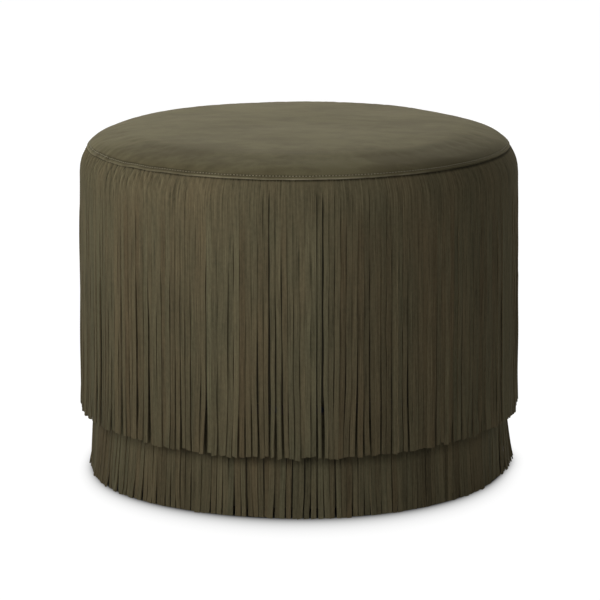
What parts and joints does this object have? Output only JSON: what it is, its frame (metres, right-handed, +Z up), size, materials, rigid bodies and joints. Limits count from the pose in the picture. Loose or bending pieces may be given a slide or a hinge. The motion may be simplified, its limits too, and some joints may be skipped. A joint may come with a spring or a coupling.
{
  "type": "round fringed ottoman",
  "caption": "Round drum ottoman with a crowned suede leather seat and two tiers of hanging leather strip fringe, on a padded plywood frame with plastic glides; used as a stool or footrest.",
  "frame": {"origin": "on the floor, in the middle of the drum, at the level of the glides' undersides", "axes": "+Z up along the drum's axis; the drum looks the same from every side, and the picture looks along +Y"},
  "size_m": [0.551, 0.551, 0.43],
  "materials": {
    "seat_leather": "matte",
    "fringe_leather": "matte",
    "batting": "matte",
    "foam": "matte",
    "lining_cloth": "matte",
    "dust_cloth": "matte",
    "plywood": "matte",
    "pine": "matte",
    "hardboard": "matte",
    "tack_board": "matte",
    "zinc_steel": "satin",
    "blued_steel": "satin",
    "nylon": "matte"
  },
  "bodies": {
    "root": {"seat_cover": "seat_leather", "upper_fringe_1": "fringe_leather", "upper_fringe_2": "fringe_leather", "upper_fringe_3": "fringe_leather", "upper_fringe_4": "fringe_leather", "upper_fringe_5": "fringe_leather", "upper_fringe_6": "fringe_leather", "upper_fringe_7": "fringe_leather", "upper_fringe_8": "fringe_leather", "lower_fringe_1": "fringe_leather", "lower_fringe_2": "fringe_leather", "lower_fringe_3": "fringe_leather", "lower_fringe_4": "fringe_leather", "lower_fringe_5": "fringe_leather", "lower_fringe_6": "fringe_leather", "lower_fringe_7": "fringe_leather", "lower_fringe_8": "fringe_leather", "seat_batting": "batting", "seat_foam": "foam", "side_foam": "foam", "side_lining": "lining_cloth", "dust_cover": "dust_cloth", "seat_deck": "plywood", "base_panel": "plywood", "post_1": "pine", "post_2": "pine", "post_3": "pine", "post_4": "pine", "post_5": "pine", "post_6": "pine", "post_7": "pine", "post_8": "pine", "wall_board": "hardboard", "fringe_tack_strip": "tack_board", "deck_screws": "zinc_steel", "base_screws": "zinc_steel", "wall_nails": "zinc_steel", "glide_screws": "zinc_steel", "fringe_tacks": "blued_steel", "dust_cover_tacks": "blued_steel", "glide_1": "nylon", "glide_2": "nylon", "glide_3": "nylon", "glide_4": "nylon", "glide_5": "nylon", "glide_6": "nylon"}
  },
  "joints": []
}
